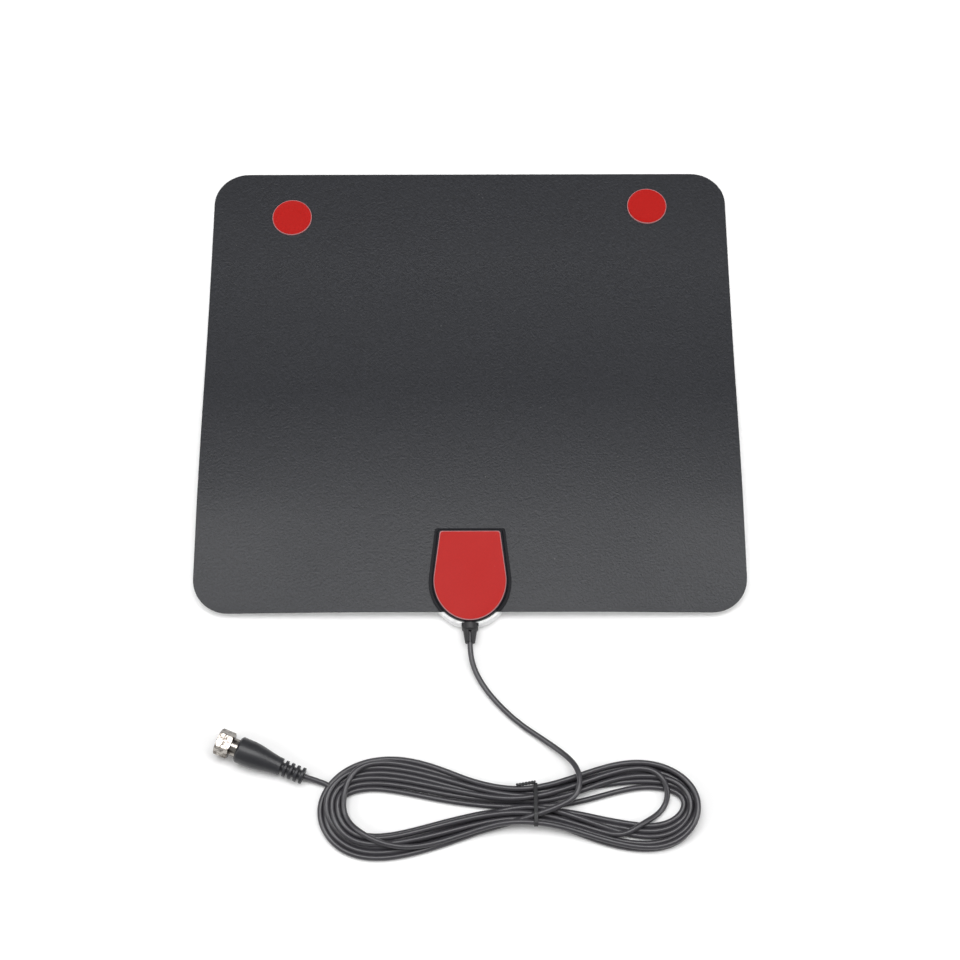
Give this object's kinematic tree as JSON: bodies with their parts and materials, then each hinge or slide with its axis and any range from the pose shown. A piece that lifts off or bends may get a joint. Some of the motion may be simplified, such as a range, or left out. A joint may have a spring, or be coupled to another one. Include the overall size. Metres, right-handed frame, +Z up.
{
  "type": "flat indoor television antenna",
  "caption": "Thin flat indoor television antenna sheet with a junction box, adhesive pads under peel-off liners, and a tied hank of coax ending in a screw-on plug.",
  "frame": {"origin": "middle of the footprint of the sheet and junction box, on the surface it lies on", "axes": "+X across the sheet, +Y from the cable end to the far edge, +Z up out of the adhesive side"},
  "size_m": [0.2658, 0.3597, 0.0129],
  "materials": {
    "white_film": "satin white film",
    "clear_bond": "clear adhesive layer",
    "black_film": "matte black film with a fine grain",
    "printed_foil": "thin printed foil",
    "foam_tape": "translucent acrylic foam tape",
    "red_liner": "smooth red release film",
    "white_shell": "gloss white moulding",
    "black_shell": "satin black moulding",
    "screw_steel": "zinc-plated steel",
    "circuit_board": "green board",
    "rivet_brass": "tinned brass",
    "ferrite": "dark ferrite",
    "copper_wire": "bare copper",
    "chip_ceramic": "tan ceramic chips",
    "solder": "tin solder",
    "relief_rubber": "dark soft moulding",
    "cable_jacket": "satin black cable jacket",
    "cable_insulation": "white insulation",
    "braid": "tinned braid",
    "tie_black": "black twist tie",
    "boot_plastic": "satin dark boot",
    "connector_nickel": "nickel plate",
    "nut_nickel": "nickel plate"
  },
  "bodies": {
    "antenna": {"front_film": "white_film", "bond_layer": "clear_bond", "back_film": "black_film", "foil_left": "printed_foil", "foil_right": "printed_foil", "tape_disc_left": "foam_tape", "tape_disc_right": "foam_tape", "box_tape": "foam_tape", "front_cover": "white_shell", "rear_cover": "black_shell", "cover_screws": "screw_steel", "matching_board": "circuit_board", "contact_rivets": "rivet_brass", "balun_core": "ferrite", "balun_winding": "copper_wire", "chip_capacitors": "chip_ceramic", "solder_joints": "solder", "box_strain_relief": "relief_rubber", "cable_entry": "cable_jacket", "cable_core": "cable_insulation", "cable_conductor": "copper_wire", "cable_braid": "braid", "cord_lead": "cable_jacket", "cord_hank": "cable_jacket", "cord_tail": "cable_jacket", "plug_cable_end": "cable_jacket", "twist_tie": "tie_black", "plug_boot": "boot_plastic", "connector_body": "connector_nickel", "dielectric": "cable_insulation", "centre_pin": "copper_wire"},
    "nut": {"coupling_nut": "nut_nickel"},
    "left_liner": {"liner_disc_left": "red_liner"},
    "right_liner": {"liner_disc_right": "red_liner"},
    "box_liner_film": {"box_liner": "red_liner"}
  },
  "joints": [
    {"name": "nut_spin", "type": "hinge", "parent": "antenna", "child": "nut", "pos_m": [-0.11325, -0.18145, 0.00679], "axis": [-0.9243, 0.3745, 0.0737], "continuous": true},
    {"name": "left_liner_peel", "type": "hinge", "parent": "antenna", "child": "left_liner", "pos_m": [-0.0922, 0.10835, 0.00157], "axis": [-1, 0, 0], "range_deg": [0, 110]},
    {"name": "right_liner_peel", "type": "hinge", "parent": "antenna", "child": "right_liner", "pos_m": [0.0921, 0.11465, 0.00157], "axis": [-1, 0, 0], "range_deg": [0, 110]},
    {"name": "box_liner_peel", "type": "hinge", "parent": "antenna", "child": "box_liner_film", "pos_m": [0, -0.07815, 0.00997], "axis": [-1, 0, 0], "range_deg": [0, 150]}
  ]
}
